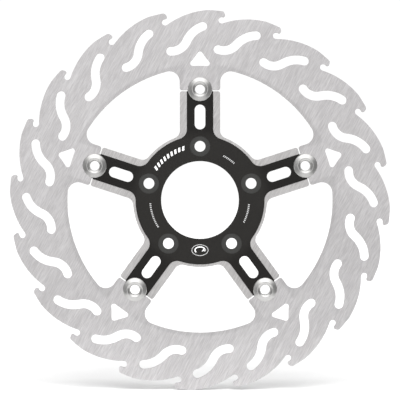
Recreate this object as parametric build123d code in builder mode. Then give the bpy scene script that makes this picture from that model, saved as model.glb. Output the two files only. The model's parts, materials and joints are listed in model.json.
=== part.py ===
from build123d import *
import os
from math import acos, atan2, cos, degrees, hypot, pi, radians, sin, sqrt

# A floating brake disc: a stainless friction ring with hooked teeth, hung on five bobbins from an aluminium
# carrier. Millimetres. The disc stands upright: +Z is up, its axis is Y and its front face looks towards -Y.
# The origin is the centre of the carrier's bore, on the mounting face. Heights are measured from the mounting
# face towards the front, and angles on the disc are measured clockwise from the top, seen from the front.

os.makedirs("parts", exist_ok=True)

# Friction ring
ring_r = 146.0
ring_back = 1.5
ring_thick = 5.0
ring_front = ring_back + ring_thick
ring_inner_r = 102.0
tab_half = 15.6
tab_end = 84.5
tab_corner_r = 1.75
tab_root_r = 8.0

# Teeth: each has a long curved back, a hooked tip, and a round pocket under the hook
tooth_count = 20
tooth_pitch = 360 / tooth_count
pocket_r = 2.5
pocket_at = 139.06
pocket_angle = 6.89
back_centre_at = 86.0
tip_r = 2.58
tip_across = -0.78
nose_r = 1.43
nose_across = 0.75

# S-shaped slots, one for each tooth, from the ray of the pocket to just under the next tip
slot_width = 7.0
slot_start_at = 116.5
slot_heading = -13.8
slot_inner_bend = (12.5, 67.0)
slot_straight = 1.55
slot_outer_bend = (21.0, -45.0)

# Three-cornered cut-outs in the ring, one over each arm
cutout_base_at = 102.65
cutout_half = 10.3
cutout_high = 13.3
cutout_hollow = 0.35
cutout_corner_r = 2.1

# Carrier: a plate with five arms, and a raised face on it that leaves a ledge all round
arm_count = 5
plate_front = 5.5
face_front = ring_front
hub_r = 51.45
arm_half = 15.5
arm_end = 83.5
arm_corner_r = 1.75
arm_root_r = 6.0
face_hub_r = 49.5
face_arm_half = 10.1
face_root_r = 7.75
face_edge_break = 0.25
bore_r = 29.9
bolt_pcd = 82.55
bolt_hole_r = 4.2
spotface_r = 7.8
spotface_deep = 0.3
arm_slot_width = 8.2
arm_slot_from = 54.2
arm_slot_to = 73.4
arm_relief_from = 74.5

# Bobbins, half in the ring and half in the arm, and the stack behind each of them
bobbin_at = 85.1
socket_r = 7.08
shank_r = 7.0
head_r = 9.15
head_rim = 0.7
head_high = 1.9
crest_r = 6.1
bobbin_hole_r = 3.8
countersink_r = 5.7
countersink_deep = 1.2
shim_thick = 0.5
shim_inner_r = 7.2
shim_outer_r = 9.6
spring_high = 1.15
spring_thick = 0.35
spring_inner_r = 7.3
spring_outer_r = 9.4
spring_waves = 3
clip_thick = 0.8
clip_inner_r = 6.45
clip_outer_r = 8.5
clip_gap = 4.6
clip_lug_r = 1.35
clip_lug_hole_r = 0.6
groove_r = 6.4
groove_play = 0.06
tail_long = 0.6

shim_back = ring_back - shim_thick
clip_front = shim_back - spring_high
clip_back = clip_front - clip_thick
bobbin_tail = clip_back - groove_play - tail_long


def on_ray(across, out, angle):
    """The point across (clockwise) and out along the ray at an angle in degrees clockwise from the top."""
    turn = radians(angle)
    return Vector(across * cos(turn) + out * sin(turn), out * cos(turn) - across * sin(turn))


def heading(from_point, to_point):
    """The way from one point to another, in degrees anticlockwise from local +X."""
    return degrees(atan2(to_point.Y - from_point.Y, to_point.X - from_point.X))


def along(point, angle, length):
    """The point at a length from another, on a heading."""
    return point + Vector(length, 0).rotate(Axis.Z, angle)


def short_arc(centre, radius, start, end):
    """The arc about a centre from one heading to another, the short way round."""
    return CenterArc(centre, radius, start, (end - start + 180) % 360 - 180)


def corners_at(outline, radius):
    """The corners of an outline that are a distance from the disc's axis."""
    return [corner for corner in outline.vertices() if abs(hypot(corner.X, corner.Y) - radius) < 0.5]


def write(part, name):
    part.label = name
    export_step(part, f"parts/{name}.step")


# ---- Friction ring ----

# Going clockwise, a tooth's back rises from the last pocket to the rim, the rim runs to the tip, the tip turns
# down a short end face to the nose, and the pocket undercuts the nose and meets the next back.
centre = Vector(0, 0)
tip_out = sqrt((ring_r - tip_r) ** 2 - tip_across**2)
nose_out = pocket_at + pocket_r + nose_r
end_face_turn = degrees(acos((nose_r - tip_r) / hypot(tip_across - nose_across, tip_out - nose_out)))
back_r = (on_ray(0, pocket_at, -tooth_pitch) - Vector(0, back_centre_at)).length - pocket_r
back_rise = degrees(acos((ring_r**2 + back_centre_at**2 - back_r**2) / (2 * ring_r * back_centre_at)))

with BuildLine() as teeth:
    for tooth in range(tooth_count):
        ray = pocket_angle + tooth * tooth_pitch
        up = 90 - ray
        pocket = on_ray(0, pocket_at, ray)
        tip = on_ray(tip_across, tip_out, ray)
        nose = on_ray(nose_across, nose_out, ray)
        back_centre = on_ray(0, back_centre_at, ray)
        last_pocket = on_ray(0, pocket_at, ray - tooth_pitch)
        next_back_centre = on_ray(0, back_centre_at, ray + tooth_pitch)
        rim_start = on_ray(0, ring_r, ray - back_rise)
        end_face = heading(nose, tip) - end_face_turn
        short_arc(back_centre, back_r, heading(back_centre, last_pocket), heading(back_centre, rim_start))
        short_arc(centre, ring_r, up + back_rise, heading(centre, tip))
        short_arc(tip, tip_r, heading(centre, tip), end_face)
        Line(along(tip, end_face, tip_r), along(nose, end_face, nose_r))
        short_arc(nose, nose_r, end_face, up - 180)
        Line(along(nose, up - 180, nose_r), along(pocket, up, pocket_r))
        CenterArc(pocket, pocket_r, up, (heading(pocket, next_back_centre) - up) % 360)

with BuildSketch() as slot:
    with BuildLine():
        slot_ray = pocket_angle - tooth_pitch
        slot_way = Vector(1, 0).rotate(Axis.Z, slot_heading - slot_ray)
        inner_bend = JernArc(on_ray(0, slot_start_at, slot_ray), slot_way, *slot_inner_bend)
        between = Line(inner_bend @ 1, inner_bend @ 1 + (inner_bend % 1) * slot_straight)
        JernArc(between @ 1, between % 1, *slot_outer_bend)
        offset(amount=slot_width / 2)
    make_face()

with BuildSketch() as cutout:
    with BuildLine():
        left = (-cutout_half, cutout_base_at)
        right = (cutout_half, cutout_base_at)
        apex = (0, cutout_base_at + cutout_high)
        SagittaArc(left, right, cutout_hollow)
        SagittaArc(right, apex, cutout_hollow)
        SagittaArc(apex, left, cutout_hollow)
    make_face()
    fillet(cutout.vertices(), cutout_corner_r)

with BuildSketch() as opening:
    Circle(ring_inner_r)
    with PolarLocations((tab_end + ring_r) / 2, arm_count, start_angle=90):
        Rectangle(ring_r - tab_end, 2 * tab_half, mode=Mode.SUBTRACT)
    fillet(corners_at(opening, ring_inner_r), tab_root_r)
    fillet(corners_at(opening, hypot(tab_end, tab_half)), tab_corner_r)

with BuildPart() as ring:
    with BuildSketch(Plane.XZ.offset(ring_back)):
        add(teeth.line)
        make_face()
        add(opening.sketch, mode=Mode.SUBTRACT)
        with PolarLocations(bobbin_at, arm_count, start_angle=90):
            Circle(socket_r, mode=Mode.SUBTRACT)
        with PolarLocations(0, tooth_count):
            add(slot.sketch, mode=Mode.SUBTRACT)
        with PolarLocations(0, arm_count):
            add(cutout.sketch, mode=Mode.SUBTRACT)
    extrude(amount=ring_thick)
write(ring.part, "friction_ring")


# ---- Carrier ----

with BuildSketch() as plate_outline:
    Circle(hub_r)
    with PolarLocations(arm_end / 2, arm_count, start_angle=90):
        Rectangle(arm_end, 2 * arm_half)
    fillet(corners_at(plate_outline, hub_r), arm_root_r)
    fillet(corners_at(plate_outline, hypot(arm_end, arm_half)), arm_corner_r)

with BuildSketch() as face_outline:
    Circle(face_hub_r)
    with PolarLocations(arm_end / 2, arm_count, start_angle=90):
        Rectangle(arm_end, 2 * face_arm_half)
    fillet(corners_at(face_outline, face_hub_r), face_root_r)

with BuildPart() as carrier:
    with BuildSketch(Plane.XZ):
        add(plate_outline.sketch)
    extrude(amount=plate_front)
    with BuildSketch(Plane.XZ.offset(plate_front)):
        add(face_outline.sketch)
    extrude(amount=face_front - plate_front)
    chamfer(carrier.edges().filter_by_position(Axis.Y, -face_front, -face_front), face_edge_break)
    # Bore, bolt holes, the window in each arm, and the half socket at its end
    with BuildSketch(Plane.XZ):
        Circle(bore_r)
        with PolarLocations(bolt_pcd / 2, arm_count, start_angle=90):
            Circle(bolt_hole_r)
        with PolarLocations((arm_slot_from + arm_slot_to) / 2, arm_count, start_angle=90):
            SlotOverall(arm_slot_to - arm_slot_from, arm_slot_width)
        with PolarLocations(bobbin_at, arm_count, start_angle=90):
            Circle(socket_r)
    extrude(amount=face_front, mode=Mode.SUBTRACT)
    with BuildSketch(Plane.XZ.offset(face_front)):
        with PolarLocations(bolt_pcd / 2, arm_count, start_angle=90):
            Circle(spotface_r)
    extrude(amount=-spotface_deep, mode=Mode.SUBTRACT)
    # The back of each arm's end is machined down to the height of the ring's back
    with BuildSketch(Plane.XZ):
        with PolarLocations((arm_relief_from + ring_r) / 2, arm_count, start_angle=90):
            Rectangle(ring_r - arm_relief_from, 3 * arm_half)
    extrude(amount=ring_back, mode=Mode.SUBTRACT)
write(carrier.part, "carrier")


# ---- Bobbins and what is stacked behind them ----


def seat_plane(number):
    """The plane of one bobbin's seat: local X clockwise, Y outward, Z towards the front."""
    turn = radians(number * 360 / arm_count)
    place = (bobbin_at * sin(turn), 0, bobbin_at * cos(turn))
    return Plane(origin=place, x_dir=(cos(turn), 0, -sin(turn)), z_dir=(0, -1, 0))


def section_plane(seat):
    """The plane through a seat's axis in which a turned part's half section is drawn."""
    return Plane(origin=seat.origin, x_dir=seat.x_dir, z_dir=-seat.y_dir)


def turned(seat, outline):
    """A turned part from its half section, as (radius, height) points."""
    with BuildPart() as piece:
        with BuildSketch(section_plane(seat)):
            with BuildLine():
                Polyline(*outline, close=True)
            make_face()
        revolve(axis=Axis(seat.origin, seat.z_dir))
    return piece.part


def washer(seat, inner_r, outer_r, back, thick):
    with BuildPart() as piece:
        with BuildSketch(seat.offset(back)):
            Circle(outer_r)
            Circle(inner_r, mode=Mode.SUBTRACT)
        extrude(amount=thick)
    return piece.part


def bobbin(seat):
    """A drive bobbin: a conical head with a countersunk hole, a plain shank, and a groove near its tail."""
    head_top = ring_front + head_high
    groove_back = clip_back - groove_play
    bevel = 0.4
    return turned(
        seat,
        [
            (bobbin_hole_r, bobbin_tail + bevel / 2),
            (bobbin_hole_r, head_top - countersink_deep),
            (countersink_r, head_top),
            (crest_r, head_top),
            (head_r - bevel, ring_front + head_rim),
            (head_r, ring_front + head_rim - bevel),
            (head_r, ring_front),
            (shank_r, ring_front),
            (shank_r, clip_front),
            (groove_r, clip_front),
            (groove_r, groove_back),
            (shank_r, groove_back),
            (shank_r, bobbin_tail + bevel),
            (shank_r - bevel, bobbin_tail),
            (bobbin_hole_r + bevel / 2, bobbin_tail),
        ],
    )


def wavy_circle(radius, middle):
    """A closed curve about local Z whose height follows the cosine of a few turns in one."""
    rise = (spring_high - spring_thick) / 2
    steps = 12 * spring_waves
    points = []
    for step in range(steps):
        turn = 2 * pi * step / steps
        points.append(Vector(radius * cos(turn), radius * sin(turn), middle + rise * cos(spring_waves * turn)))
    return Edge.make_spline(points, periodic=True)


def wave_spring(seat):
    """A flat strip bent into a wavy ring, closed by four ruled faces between its four edges."""
    middle = clip_front + spring_high / 2
    corners = [
        wavy_circle(spring_inner_r, middle - spring_thick / 2),
        wavy_circle(spring_inner_r, middle + spring_thick / 2),
        wavy_circle(spring_outer_r, middle + spring_thick / 2),
        wavy_circle(spring_outer_r, middle - spring_thick / 2),
    ]
    walls = [Face.make_surface_from_curves(*pair) for pair in zip(corners, corners[1:] + corners[:1])]
    with BuildPart() as piece:
        add(seat.location * Solid(Shell(walls)))
    return piece.part


def retaining_ring(seat):
    """An external circlip: an open ring with a lug and a plier hole at each end, its gap towards the hub."""
    lug_at = (clip_inner_r + clip_outer_r) / 2 + 0.4
    lug_angle = degrees((clip_gap / 2 + clip_lug_r) / lug_at)
    with BuildPart() as piece:
        with BuildSketch(seat.offset(clip_back)) as outline:
            Circle(clip_outer_r)
            with PolarLocations(lug_at, 2, start_angle=270 - lug_angle, angular_range=4 * lug_angle):
                Circle(clip_lug_r)
            Circle(clip_inner_r, mode=Mode.SUBTRACT)
            with Locations((0, -bobbin_at / 2)):
                Rectangle(clip_gap, bobbin_at, mode=Mode.SUBTRACT)
            with PolarLocations(lug_at, 2, start_angle=270 - lug_angle, angular_range=4 * lug_angle):
                Circle(clip_lug_hole_r, mode=Mode.SUBTRACT)
        extrude(amount=clip_thick)
    return piece.part


for number in range(arm_count):
    seat = seat_plane(number)
    write(bobbin(seat), f"bobbin_{number + 1}")
    write(washer(seat, shim_inner_r, shim_outer_r, shim_back, shim_thick), f"shim_washer_{number + 1}")
    write(wave_spring(seat), f"wave_spring_{number + 1}")
    write(retaining_ring(seat), f"retaining_ring_{number + 1}")
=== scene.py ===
import bpy
import json
import math
import numpy as np
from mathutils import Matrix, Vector


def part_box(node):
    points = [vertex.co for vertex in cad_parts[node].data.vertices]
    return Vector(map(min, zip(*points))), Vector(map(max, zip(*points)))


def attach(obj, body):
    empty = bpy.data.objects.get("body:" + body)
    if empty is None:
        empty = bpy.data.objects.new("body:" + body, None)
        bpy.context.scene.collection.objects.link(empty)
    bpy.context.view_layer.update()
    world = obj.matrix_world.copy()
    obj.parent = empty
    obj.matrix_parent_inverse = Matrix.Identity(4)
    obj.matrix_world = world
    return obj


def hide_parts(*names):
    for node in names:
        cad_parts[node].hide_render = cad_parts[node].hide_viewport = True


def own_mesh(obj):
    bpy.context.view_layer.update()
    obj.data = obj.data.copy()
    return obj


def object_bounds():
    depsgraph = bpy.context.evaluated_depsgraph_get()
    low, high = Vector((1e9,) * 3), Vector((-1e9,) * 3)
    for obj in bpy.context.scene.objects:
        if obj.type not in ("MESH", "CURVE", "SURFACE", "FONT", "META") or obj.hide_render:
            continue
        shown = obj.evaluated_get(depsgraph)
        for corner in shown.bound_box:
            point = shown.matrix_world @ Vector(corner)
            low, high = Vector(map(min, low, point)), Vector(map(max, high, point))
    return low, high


# A floating brake disc, stood upright on its lowest teeth and seen square from the front. Metres, in the
# frame's own axes: +Z is up, the disc's axis is Y, and its front looks towards -Y.
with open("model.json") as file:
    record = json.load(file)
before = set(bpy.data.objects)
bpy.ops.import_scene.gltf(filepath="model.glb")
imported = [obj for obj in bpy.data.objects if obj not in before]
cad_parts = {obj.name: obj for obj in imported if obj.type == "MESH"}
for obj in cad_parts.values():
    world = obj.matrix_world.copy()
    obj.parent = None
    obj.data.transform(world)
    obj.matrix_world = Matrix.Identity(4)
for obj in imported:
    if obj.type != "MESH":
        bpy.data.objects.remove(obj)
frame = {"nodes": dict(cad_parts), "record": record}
cad_low, cad_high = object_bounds()


# ---- The studio ----
# A pale floor that runs back into a white room. One broad lamp hangs low in front and casts the soft shadow.
# The metal mirrors only the room: bright behind the camera, greyer at the sides, with a soft box on high.

front = Vector((0, -1, 0))
disc_r = (cad_high.x - cad_low.x) / 2
box_up = math.radians(57)
wall_white = 1.05
floor_grey = 0.86
lamp_aside = 0.06


def node(tree, kind, inputs=None, **settings):
    """Adds a shader node. An input is a socket to link, or a value to set."""
    made = tree.nodes.new("ShaderNode" + kind)
    for name, value in settings.items():
        setattr(made, name, value)
    for name, value in (inputs or {}).items():
        if isinstance(value, bpy.types.NodeSocket):
            tree.links.new(value, made.inputs[name])
        else:
            made.inputs[name].default_value = value
    return made


def fade(tree, value, low, high, to_low=0.0, to_high=1.0):
    """A value carried smoothly from one range to another, and held flat outside it."""
    inputs = {"Value": value, "From Min": low, "From Max": high, "To Min": to_low, "To Max": to_high}
    return node(tree, "MapRange", inputs, interpolation_type="SMOOTHSTEP").outputs[0]


def maths(tree, operation, *values):
    """One step of arithmetic on sockets or numbers."""
    return node(tree, "Math", dict(enumerate(values)), operation=operation).outputs[0]


def grey(value):
    return (value, value, value, 1)


def build_room(ahead, side, over, under, behind, box):
    """Sets what comes from each way in the room. The camera itself sees plain white."""
    world = bpy.data.worlds.new("studio")
    bpy.context.scene.world = world
    world.use_nodes = True
    tree = world.node_tree
    tree.nodes.clear()
    toward = node(tree, "TexCoord").outputs["Generated"]

    def lobe(direction, edge, core, strength, base=0.0):
        """Light from round a direction, which grows from an edge angle in to a core angle, in degrees."""
        aim = Vector(direction).normalized()
        close = node(tree, "VectorMath", {0: toward, 1: tuple(aim)}, operation="DOT_PRODUCT")
        edge_cosine, core_cosine = math.cos(math.radians(edge)), math.cos(math.radians(core))
        return fade(tree, close.outputs["Value"], edge_cosine, core_cosine, base, strength)

    total = lobe((-0.18, -1, 0.2), edge=42, core=2, strength=ahead, base=side)
    for light in (
        lobe((0, 0, 1), edge=72, core=26, strength=over),
        lobe((0, 0, -1), edge=66, core=41, strength=under),
        lobe((0, 1, 0), edge=84, core=37, strength=behind),
        lobe((0.02, -math.cos(box_up), math.sin(box_up)), edge=46, core=10, strength=box),
    ):
        total = maths(tree, "ADD", total, light)
    room = node(tree, "Background", {"Color": grey(1), "Strength": total})
    wall = node(tree, "Background", {"Color": grey(1), "Strength": wall_white})
    seen = node(tree, "LightPath").outputs["Is Camera Ray"]
    mixed = node(tree, "MixShader", {0: seen, 1: room.outputs[0], 2: wall.outputs[0]})
    node(tree, "OutputWorld", {"Surface": mixed.outputs[0]})


def build_floor(height, half_wide, near, far):
    """A flat sheet under the disc. It stops short in front, so that the bobbins mirror the room there."""
    material = bpy.data.materials.new("pale_floor")
    material.use_nodes = True
    tree = material.node_tree
    tree.nodes.clear()
    paint = node(tree, "BsdfDiffuse", {"Color": grey(floor_grey)})
    node(tree, "OutputMaterial", {"Surface": paint.outputs[0]})
    mesh = bpy.data.meshes.new("floor")
    corners = [(-half_wide, -near), (half_wide, -near), (half_wide, far), (-half_wide, far)]
    mesh.from_pydata([(x, y, height) for x, y in corners], [], [(0, 1, 2, 3)])
    mesh.materials.append(material)
    floor = bpy.data.objects.new("floor", mesh)
    bpy.context.scene.collection.objects.link(floor)


def build_lamp(strength, height_angle, spread_angle):
    """The broad lamp in front. It isn't mirrored, so the soft box is the only bright patch in the metal."""
    light = bpy.data.lights.new("front_lamp", "SUN")
    light.energy = strength
    light.angle = math.radians(spread_angle)
    lamp = bpy.data.objects.new("front_lamp", light)
    height = math.radians(height_angle)
    toward = Vector((lamp_aside, -math.cos(height), math.sin(height)))
    lamp.visible_glossy = False
    lamp.rotation_euler = toward.to_track_quat("Z", "Y").to_euler()
    bpy.context.scene.collection.objects.link(lamp)


def build_camera(lens, view_width):
    """A long lens square to the front, far enough away to take in the view's width at the disc."""
    data = bpy.data.cameras.new("camera")
    data.lens = lens
    distance = view_width * lens / data.sensor_width
    camera = bpy.data.objects.new("camera", data)
    camera.location = Vector((0, cad_low.y, 0)) + front * distance
    camera.rotation_euler = (math.pi / 2, 0, 0)
    data.clip_end = 100
    bpy.context.scene.collection.objects.link(camera)
    bpy.context.scene.camera = camera


build_room(ahead=1.06, side=0.27, over=0.2, under=0.75, behind=0.7, box=1.5)
build_floor(cad_low.z, half_wide=4, near=0.13, far=60)
build_lamp(strength=3.4, height_angle=27, spread_angle=40)
build_camera(lens=240, view_width=2.103 * disc_r)
bpy.context.scene.view_settings.view_transform = "Standard"


# ---- Friction ring ----
# One ring of stainless steel, laser cut from sheet and ground flat. The grinding belt leaves straight lines
# across the whole ring, all one way, and the cut edges are plain and a little darker.

grain_lean = math.radians(62)
window_r = 0.102
tab_half = 0.0156
# Painted shade along each window's edge: where it starts and ends inward, and how grey it gets
painted_edge_shade_from, painted_edge_shade_to = 0.0012, 0.0036
painted_edge_shade_grey = 0.9
laser_lines = (2600.0, 140.0, 2600.0)
bolts = next(m for m in frame["record"]["mounts"] if m["name"] == "hub_bolts")
arm_count = bolts["dims"]["count"]


def start_material(name):
    material = bpy.data.materials.new(name)
    material.use_nodes = True
    tree = material.node_tree
    tree.nodes.clear()
    return material, tree


def give_surface(tree, inputs):
    """Ends a material in one principled shader."""
    surface = node(tree, "BsdfPrincipled", inputs)
    node(tree, "OutputMaterial", {"Surface": surface.outputs[0]})


def dress(node_name, material):
    """Puts a material on a CAD node."""
    mesh = frame["nodes"][node_name].data
    mesh.materials.clear()
    mesh.materials.append(material)


def between(tree, share, first, second, blend="MIX"):
    """A colour part of the way from one to another. Sockets 6 and 7 are the mix node's two colours."""
    inputs = {"Factor": share, 6: first, 7: second}
    return node(tree, "Mix", inputs, data_type="RGBA", blend_type=blend).outputs[2]


def noise(tree, place, scale, detail=2.0):
    return node(tree, "TexNoise", {"Vector": place, "Scale": scale, "Detail": detail}).outputs["Fac"]


def stretched(tree, value, to_low=0.0, to_high=1.0):
    """Noise carried onto a range from 0.3 to 0.7, where nearly all of it lies."""
    return fade(tree, value, 0.3, 0.7, to_low, to_high)


def above(tree, value, limit):
    return maths(tree, "GREATER_THAN", value, limit)


def below(tree, value, limit):
    return maths(tree, "LESS_THAN", value, limit)


def hypotenuse(tree, first, second):
    """The square root of the sum of two squares."""
    squares = maths(tree, "MULTIPLY_ADD", first, first, maths(tree, "MULTIPLY", second, second))
    return maths(tree, "SQRT", squares)


def backward(tree):
    """How far the surface looks towards the back, from -1 to 1."""
    normal = node(tree, "NewGeometry").outputs["True Normal"]
    return node(tree, "SeparateXYZ", {0: normal}).outputs["Y"]


def arm_places(tree, place):
    """Height, distance from the disc's axis, and distance across and out along the nearest arm."""
    at = node(tree, "SeparateXYZ", {0: place})
    x, z = at.outputs["X"], at.outputs["Z"]
    radius = hypotenuse(tree, x, z)
    turn = maths(tree, "ARCTAN2", x, z)
    step = 2 * math.pi / arm_count
    arm_turn = maths(tree, "MULTIPLY", maths(tree, "ROUND", maths(tree, "DIVIDE", turn, step)), step)
    off = maths(tree, "SUBTRACT", turn, arm_turn)
    across = maths(tree, "ABSOLUTE", maths(tree, "MULTIPLY", radius, maths(tree, "SINE", off)))
    out = maths(tree, "MULTIPLY", radius, maths(tree, "COSINE", off))
    return at.outputs["Y"], radius, across, out


def streaks(tree, place, wide, long, detail=2.0, seed=0.0):
    """Noise drawn out along the grain: wide across it and long along it, in metres."""
    scale = (1 / long, 1.0, 1 / wide)
    turned = node(tree, "VectorRotate", {"Vector": place, "Angle": grain_lean}, rotation_type="Y_AXIS")
    drawn = node(tree, "VectorMath", {0: turned.outputs[0], 1: scale}, operation="MULTIPLY")
    shifted = node(tree, "VectorMath", {0: drawn.outputs[0], 1: (seed, seed, seed)}, operation="ADD")
    inputs = {"Vector": shifted.outputs[0], "Scale": 1.0, "Detail": detail, "Roughness": 0.6}
    return node(tree, "TexNoise", inputs).outputs["Fac"]


def belt_marks(tree, place):
    """The grinding belt's tone: broad bands, streaks and fine scratches, and a few long bright lines."""
    bands = streaks(tree, place, wide=0.012, long=0.05)
    belt = streaks(tree, place, wide=0.0011, long=0.014, detail=3.0, seed=3.7)
    fine = streaks(tree, place, wide=0.0005, long=0.007, detail=5.0, seed=8.1)
    lines = fade(tree, streaks(tree, place, wide=0.0016, long=0.03, detail=1.0, seed=5.3), 0.6, 0.72)
    tone = maths(tree, "MULTIPLY_ADD", bands, 0.4, maths(tree, "MULTIPLY", belt, 0.7))
    tone = maths(tree, "MULTIPLY_ADD", fine, 1.3, tone)
    tone = maths(tree, "MULTIPLY_ADD", lines, 0.15, tone)
    return fade(tree, tone, 0.85, 1.6), belt, fine


def ground_steel(name, light, dark, cut_light, cut_dark):
    """Bare metal ground in straight lines on its faces, with laser lines across its cut edges."""
    material, tree = start_material(name)
    place = node(tree, "TexCoord").outputs["Object"]
    tone, belt, fine = belt_marks(tree, place)
    colour = between(tree, tone, dark, light)
    rough = stretched(tree, belt, 0.30, 0.42)
    height = maths(tree, "MULTIPLY_ADD", belt, 0.6, maths(tree, "MULTIPLY", fine, 0.5))

    # Painted shade: the colour darkens within a few millimetres of each window's edge, standing in for a
    # rolled-over edge that mirrors the greyer sides of the room
    _, radius, across, _ = arm_places(tree, place)
    from_window = maths(tree, "SUBTRACT", radius, window_r)
    from_tab_side = maths(tree, "SUBTRACT", tab_half, across)
    inward = maths(tree, "MAXIMUM", from_window, from_tab_side)
    painted_edge_shade = fade(tree, inward, painted_edge_shade_from, painted_edge_shade_to, 1.0, 0.0)
    colour = between(tree, painted_edge_shade, colour, grey(painted_edge_shade_grey), blend="MULTIPLY")

    # The laser leaves lines through the thickness of every cut edge, which is greyer than the ground faces
    cut = below(tree, maths(tree, "ABSOLUTE", backward(tree)), 0.5)
    drawn = node(tree, "VectorMath", {0: place, 1: laser_lines}, operation="MULTIPLY").outputs[0]
    lines = noise(tree, drawn, 1.0)
    colour = between(tree, cut, colour, between(tree, lines, cut_dark, cut_light))
    rough = maths(tree, "MULTIPLY_ADD", cut, 0.12, rough)
    height = maths(tree, "MULTIPLY_ADD", maths(tree, "MULTIPLY", cut, lines), 2.0, height)
    bump = node(tree, "Bump", {"Strength": 0.12, "Distance": 0.0002, "Height": height})
    give_surface(tree, {
        "Base Color": colour,
        "Metallic": 1.0,
        "Roughness": rough,
        "Normal": bump.outputs[0],
    })
    return material


dress("friction_ring", ground_steel(
    "ground_stainless",
    light=(0.76, 0.745, 0.75, 1),
    dark=(0.54, 0.525, 0.53, 1),
    cut_light=(0.5, 0.49, 0.48, 1),
    cut_dark=(0.26, 0.25, 0.245, 1),
))


# ---- Carrier ----
# A plate of aluminium with five arms. It is anodised black, then its outline is cut back bare and ground
# with the ring's grain, which leaves a bright ledge round the raised black face.

bolt_circle_r = bolts["dims"]["pcd_mm"] / 2000
face_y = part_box("carrier")[0].y
ledge_deep = 0.001
spotface_r, spotface_deep = 0.0078, 0.0003
spotface_find = 0.00006
turning_pitch = 0.00035
inner_black_r = 0.048
slot_half, slot_end = 0.006, 0.074
step_half, step_end, step_deep = 0.0153, 0.075, 0.0016
pale_hub_r, dark_arm_r = 0.046, 0.056
hub_black, hub_pale_black = (0.0042, 0.0036, 0.0031, 1), (0.0128, 0.0119, 0.0108, 1)
turned_dark, turned_light = (0.025, 0.025, 0.024, 1), (0.037, 0.037, 0.0355, 1)
bare_dark, bare_light = (0.5, 0.487, 0.485, 1), (0.71, 0.695, 0.69, 1)
bare_rough = 0.38


def product(tree, first, *others):
    """Values multiplied together. For shares of 0 and 1, it is 1 where every one of them is."""
    for other in others:
        first = maths(tree, "MULTIPLY", first, other)
    return first


def largest(tree, first, *others):
    """The largest of some values. For shares of 0 and 1, it is 1 where any of them is."""
    for other in others:
        first = maths(tree, "MAXIMUM", first, other)
    return first


def carrier_finish():
    """Speckled black anodising, turned spotfaces, and bare ground metal on the ledge and the outline."""
    material, tree = start_material("black_anodised_carrier")
    place = node(tree, "TexCoord").outputs["Object"]
    height, radius, across, out = arm_places(tree, place)

    # Black: the raised face, the back, the hub's inside, the slots, and the step behind each arm's end
    raised = below(tree, height, face_y + 0.9 * ledge_deep)
    back = above(tree, backward(tree), 0.5)
    inside = below(tree, radius, inner_black_r)
    slot = product(tree, below(tree, across, slot_half), below(tree, out, slot_end))
    step = product(tree, above(tree, out, slot_end), below(tree, out, step_end),
                   below(tree, across, step_half), above(tree, height, -step_deep))
    black = largest(tree, raised, back, inside, slot, step)

    # Spotfaces: fine rings about each bolt hole, on the floor just under the face
    from_bolt = hypotenuse(tree, across, maths(tree, "SUBTRACT", out, bolt_circle_r))
    sunk = maths(tree, "COMPARE", height, face_y + spotface_deep, spotface_find)
    spot = product(tree, sunk, below(tree, from_bolt, spotface_r))
    turning = maths(tree, "SINE", maths(tree, "MULTIPLY", from_bolt, 2 * math.pi / turning_pitch))

    # The black is a little paler on the hub than along the arms
    speckle = noise(tree, place, 2600.0, 3.0)
    cloud = noise(tree, place, 60.0)
    paler = maths(tree, "MULTIPLY_ADD", cloud, 0.3, fade(tree, radius, pale_hub_r, dark_arm_r, 0.7, 0.0))
    anodised = between(tree, paler, hub_black, hub_pale_black)
    turned = between(tree, fade(tree, turning, -1, 1), turned_dark, turned_light)
    tone, belt, _ = belt_marks(tree, place)
    bare = between(tree, tone, bare_dark, bare_light)
    colour = between(tree, black, bare, between(tree, spot, anodised, turned))

    rougher = maths(tree, "SUBTRACT", stretched(tree, speckle, 0.42, 0.55), bare_rough)
    rough = maths(tree, "MULTIPLY_ADD", black, rougher, bare_rough)
    metal = maths(tree, "SUBTRACT", 1.0, black)
    grains = maths(tree, "MULTIPLY", speckle, 3.0)
    relief = product(tree, maths(tree, "SUBTRACT", black, spot), grains)
    relief = maths(tree, "MULTIPLY_ADD", product(tree, spot, turning), 0.8, relief)
    relief = maths(tree, "MULTIPLY_ADD", product(tree, metal, belt), 1.2, relief)
    bump = node(tree, "Bump", {"Strength": 0.2, "Distance": 0.0001, "Height": relief})
    give_surface(tree, {
        "Base Color": colour,
        "Metallic": metal,
        "Roughness": rough,
        "Normal": bump.outputs[0],
        "Specular IOR Level": 0.24,
    })
    return material


dress("carrier", carrier_finish())


# ---- Printed marks ----
# White print on the black face. Every mark is a plain stand-in with no lettering: a row of slanted bars,
# three rows of small ticks, and an oval badge round an arrow that shows which way the disc turns.

print_thick = 0.00003
pad_heights = np.array([-0.3, 0.7, 1.0]) * print_thick
pad_widths = np.array([1.0, 1.0, 0.97])
tick_size = {"wide": 0.0007, "high": 0.0013, "lean": 0.2}
badge_middle = np.array([0, -0.0385])
badge_half_wide, badge_half_high = 0.0065, 0.0044
arrow_head = np.array([(0.0012, -0.0011), (0.0026, 0.0009), (0.0049, 0.0001)])


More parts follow.
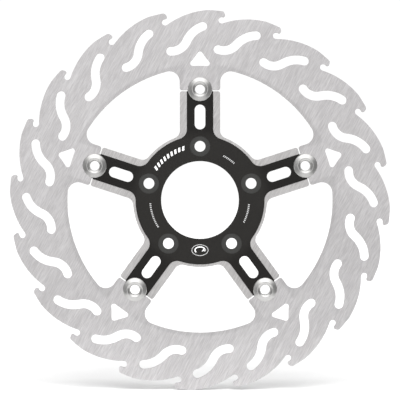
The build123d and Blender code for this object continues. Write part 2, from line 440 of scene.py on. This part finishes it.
def printed(name, outlines, material):
    """
    Thin pads on the front face, one for each outline, which is given clockwise as points across and up. The
    outline is repeated at each of the pad's heights in front of the face, at that height's share of its
    width about its own middle. Walls join the heights, and a cap closes each end.
    """
    count, sides = outlines.shape[:2]
    levels = len(pad_heights)
    middle = outlines.mean(axis=1)[:, None, None, :]
    flat = middle + (outlines[:, None] - middle) * pad_widths[None, :, None, None]
    points = np.empty((count, levels, sides, 3))
    points[..., 0], points[..., 2] = flat[..., 0], flat[..., 1]
    points[..., 1] = face_y - pad_heights[None, :, None]
    index = np.arange(count * levels * sides).reshape(count, levels, sides)
    after = np.roll(index, -1, axis=2)
    walls = np.stack([index[:, :-1], index[:, 1:], after[:, 1:], after[:, :-1]], axis=-1)
    caps = index[:, -1, ::-1].tolist() + index[:, 0].tolist()
    mesh = bpy.data.meshes.new(name)
    mesh.from_pydata(points.reshape(-1, 3).tolist(), [], walls.reshape(-1, 4).tolist() + caps)
    mesh.materials.append(material)
    piece = bpy.data.objects.new(name, mesh)
    bpy.context.scene.collection.objects.link(piece)
    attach(piece, "carrier")


def bars(count, radius, from_angle, to_angle, wide, high, lean):
    """
    Outlines of equal bars along an arc, between angles in degrees clockwise from the top. A bar is a
    rectangle sheared sideways by its height times the lean, moved out to the radius, and turned by its
    angle.
    """
    corner = np.array([(-1, -1), (-1, 1), (1, 1), (1, -1)]) / 2
    across = corner[:, 0] * wide + corner[:, 1] * high * lean
    out = corner[:, 1] * high + radius
    turn = np.radians(np.linspace(from_angle, to_angle, count))[:, None]
    x = across * np.cos(turn) + out * np.sin(turn)
    z = out * np.cos(turn) - across * np.sin(turn)
    return np.stack([x, z], axis=-1)


def badge_band(from_angle, to_angle, scale, line, steps):
    """
    Outlines of short links along the badge's oval, one for each step of the angle. The oval is half its
    width times the sine by half its height times the cosine, and a link reaches in by the line's width.
    """
    angle = np.radians(np.linspace(from_angle, to_angle, steps + 1))
    oval = np.stack([badge_half_wide * np.sin(angle), badge_half_high * np.cos(angle)], axis=-1)
    outer = oval * scale
    inner = outer - line * oval / np.linalg.norm(oval, axis=1, keepdims=True)
    return np.stack([inner[:-1], outer[:-1], outer[1:], inner[1:]], axis=1) + badge_middle


def printed_ink(name, tone, cover):
    """Ink of one tone with a fine grain. Where the ink is thin, the cover says how much of it shows."""
    material, tree = start_material(name)
    place = node(tree, "TexCoord").outputs["Object"]
    grain = noise(tree, place, 4000.0, 3.0)
    colour = between(tree, fade(tree, grain, 0.35, 0.6, cover, 1.0), grey(0.25 * tone), grey(tone))
    bump = node(tree, "Bump", {"Strength": 0.1, "Distance": 0.00003, "Height": grain})
    give_surface(tree, {
        "Base Color": colour,
        "Roughness": 0.55,
        "Normal": bump.outputs[0],
        "Specular IOR Level": 0.3,
    })
    return material


white_ink = printed_ink("white_ink", tone=0.82, cover=0.8)
grey_ink = printed_ink("grey_ink", tone=0.5, cover=0.6)
printed("slanted_bars", bars(9, 0.0416, -54, -18, wide=0.0017, high=0.0032, lean=0.35), white_ink)
printed("ticks_right_upper", bars(8, 0.0384, 28.5, 42.5, **tick_size), grey_ink)
printed("ticks_right_lower", bars(11, 0.0377, 95.5, 116.5, **tick_size), grey_ink)
printed("ticks_left_lower", bars(14, 0.0382, 237.5, 265.5, **tick_size), grey_ink)
printed("badge_oval", badge_band(0, 360, scale=1.0, line=0.0005, steps=48), grey_ink)
printed("badge_arrow", badge_band(-130, 110, scale=0.66, line=0.0009, steps=24), white_ink)
printed("badge_arrow_head", arrow_head[None] + badge_middle, white_ink)


# ---- Bobbins ----
# Five turned stainless pins. Each head is a shallow cone with a countersunk hole. The lathe leaves fine
# rings round it, and the lip of the hole is left matt.

hole_lip_r = 0.0044
lip_rough, lip_soft = 0.75, 0.0002


def centre_of(node_name):
    low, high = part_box(node_name)
    return (low + high) / 2


def turned_steel(name, centre, pitch, light, dark, rough, lip_r=0.0):
    """Bare metal with lathe rings about the piece's own axis, in tone and height, matt inside its lip."""
    material, tree = start_material(name)
    place = node(tree, "TexCoord").outputs["Object"]
    local = node(tree, "VectorMath", {0: place, 1: tuple(centre)}, operation="SUBTRACT").outputs[0]
    at = node(tree, "SeparateXYZ", {0: local})
    radius = hypotenuse(tree, at.outputs["X"], at.outputs["Z"])
    reach = maths(tree, "DIVIDE", maths(tree, "ADD", radius, at.outputs["Y"]), pitch)
    inputs = {"W": reach, "Scale": 1.0, "Detail": 3.0}
    rings = node(tree, "TexNoise", inputs, noise_dimensions="1D").outputs["Fac"]
    smear = noise(tree, local, 240.0, 3.0)
    tone = maths(tree, "MULTIPLY_ADD", smear, 0.35, maths(tree, "MULTIPLY", rings, 0.65))
    matt = fade(tree, radius, lip_r - lip_soft, lip_r + lip_soft, lip_rough, 0.0)
    bump = node(tree, "Bump", {"Strength": 0.05, "Distance": 0.0001, "Height": rings})
    give_surface(tree, {
        "Base Color": between(tree, stretched(tree, tone), dark, light),
        "Metallic": 1.0,
        "Roughness": maths(tree, "MAXIMUM", matt, stretched(tree, smear, *rough)),
        "Normal": bump.outputs[0],
    })
    return material


for number in range(1, arm_count + 1):
    name = f"bobbin_{number}"
    dress(name, turned_steel(
        f"turned_bobbin_{number}",
        centre_of(name),
        pitch=0.00025,
        light=(0.66, 0.655, 0.645, 1),
        dark=(0.56, 0.555, 0.545, 1),
        rough=(0.28, 0.32),
        lip_r=hole_lip_r,
    ))


# ---- Shim washers ----
# Flat rings of rolled steel strip behind the ring and the arm, polished where the ring has rubbed them.

for number in range(1, arm_count + 1):
    name = f"shim_washer_{number}"
    dress(name, turned_steel(
        f"rolled_shim_{number}",
        centre_of(name),
        pitch=0.0006,
        light=(0.56, 0.555, 0.55, 1),
        dark=(0.4, 0.395, 0.39, 1),
        rough=(0.26, 0.4),
    ))


# ---- Wave springs ----
# One turn of spring strip behind each shim, bent into three waves. Its edges are rounded, and tempering has
# left the steel straw-brown.

strip_inner_r, strip_outer_r = 0.0073, 0.0094
strip_thick = 0.00035
strip_waves = 3
edge_round = 0.45
edge_points = 4


def closed_grid(name, points):
    """A mesh from a grid of points that closes on itself both ways."""
    rows, columns = points.shape[:2]
    index = np.arange(rows * columns).reshape(rows, columns)
    right, down = np.roll(index, -1, axis=1), np.roll(index, -1, axis=0)
    both = np.roll(right, -1, axis=0)
    faces = np.stack([index, right, both, down], axis=-1).reshape(-1, 4)
    mesh = bpy.data.meshes.new(name)
    mesh.from_pydata(points.reshape(-1, 3).tolist(), [], faces.tolist())
    mesh.polygons.foreach_set("use_smooth", np.ones(len(faces), bool))
    piece = bpy.data.objects.new(name, mesh)
    bpy.context.scene.collection.objects.link(piece)
    return piece


def wavy_strip(name, centre, high, steps=144):
    """
    A closed ring of flat strip. Its section is a rectangle with a quarter circle at each corner. It is
    carried round the axis, and rises and falls as the cosine of the angle times the number of waves, so
    that the strip stands as high as given over all.
    """
    half_wide, half_thick = (strip_outer_r - strip_inner_r) / 2, strip_thick / 2
    round_r = edge_round * strip_thick
    quarter = np.linspace(0, math.pi / 2, edge_points)
    corner_x = np.array([1, -1, -1, 1]) * (half_wide - round_r)
    corner_y = np.array([1, 1, -1, -1]) * (half_thick - round_r)
    turns = (np.arange(4)[:, None] * math.pi / 2 + quarter[None, :]).ravel()
    section_x = np.repeat(corner_x, edge_points) + round_r * np.cos(turns)
    section_y = np.repeat(corner_y, edge_points) + round_r * np.sin(turns)
    angle = np.linspace(0, 2 * math.pi, steps, endpoint=False)[:, None]
    radius = (strip_inner_r + strip_outer_r) / 2 + section_x[None, :]
    lift = (high - strip_thick) / 2 * np.cos(strip_waves * angle) + section_y[None, :]
    points = np.stack([radius * np.sin(angle), -lift, radius * np.cos(angle)], axis=-1)
    return closed_grid(name, points + np.array(centre))


for number in range(1, arm_count + 1):
    name = f"wave_spring_{number}"
    low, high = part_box(name)
    centre = (low + high) / 2
    tall = high.y - low.y
    spring = wavy_strip(f"sprung_washer_{number}", centre, tall)
    spring.data.materials.append(turned_steel(
        f"tempered_strip_{number}",
        centre,
        pitch=0.0005,
        light=(0.46, 0.41, 0.33, 1),
        dark=(0.33, 0.28, 0.21, 1),
        rough=(0.24, 0.36),
    ))
    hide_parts(name)
    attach(spring, "carrier")
    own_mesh(spring)


# ---- Retaining rings ----
# Open rings stamped from spring steel and blackened, snapped into the groove behind each spring.

def blackened_steel(name):
    """Oxide black over steel: a fine grain in the gloss, and broad patches where it is worn paler."""
    material, tree = start_material(name)
    place = node(tree, "TexCoord").outputs["Object"]
    grain = noise(tree, place, 1500.0, 4.0)
    patch = noise(tree, place, 180.0)
    worn = fade(tree, patch, 0.35, 0.7)
    bump = node(tree, "Bump", {"Strength": 0.2, "Distance": 0.00005, "Height": grain})
    give_surface(tree, {
        "Base Color": between(tree, worn, (0.018, 0.018, 0.019, 1), (0.045, 0.043, 0.041, 1)),
        "Metallic": 0.6,
        "Roughness": stretched(tree, grain, 0.35, 0.55),
        "Normal": bump.outputs[0],
    })
    return material


circlip_steel = blackened_steel("blackened_spring_steel")
for number in range(1, arm_count + 1):
    dress(f"retaining_ring_{number}", circlip_steel)
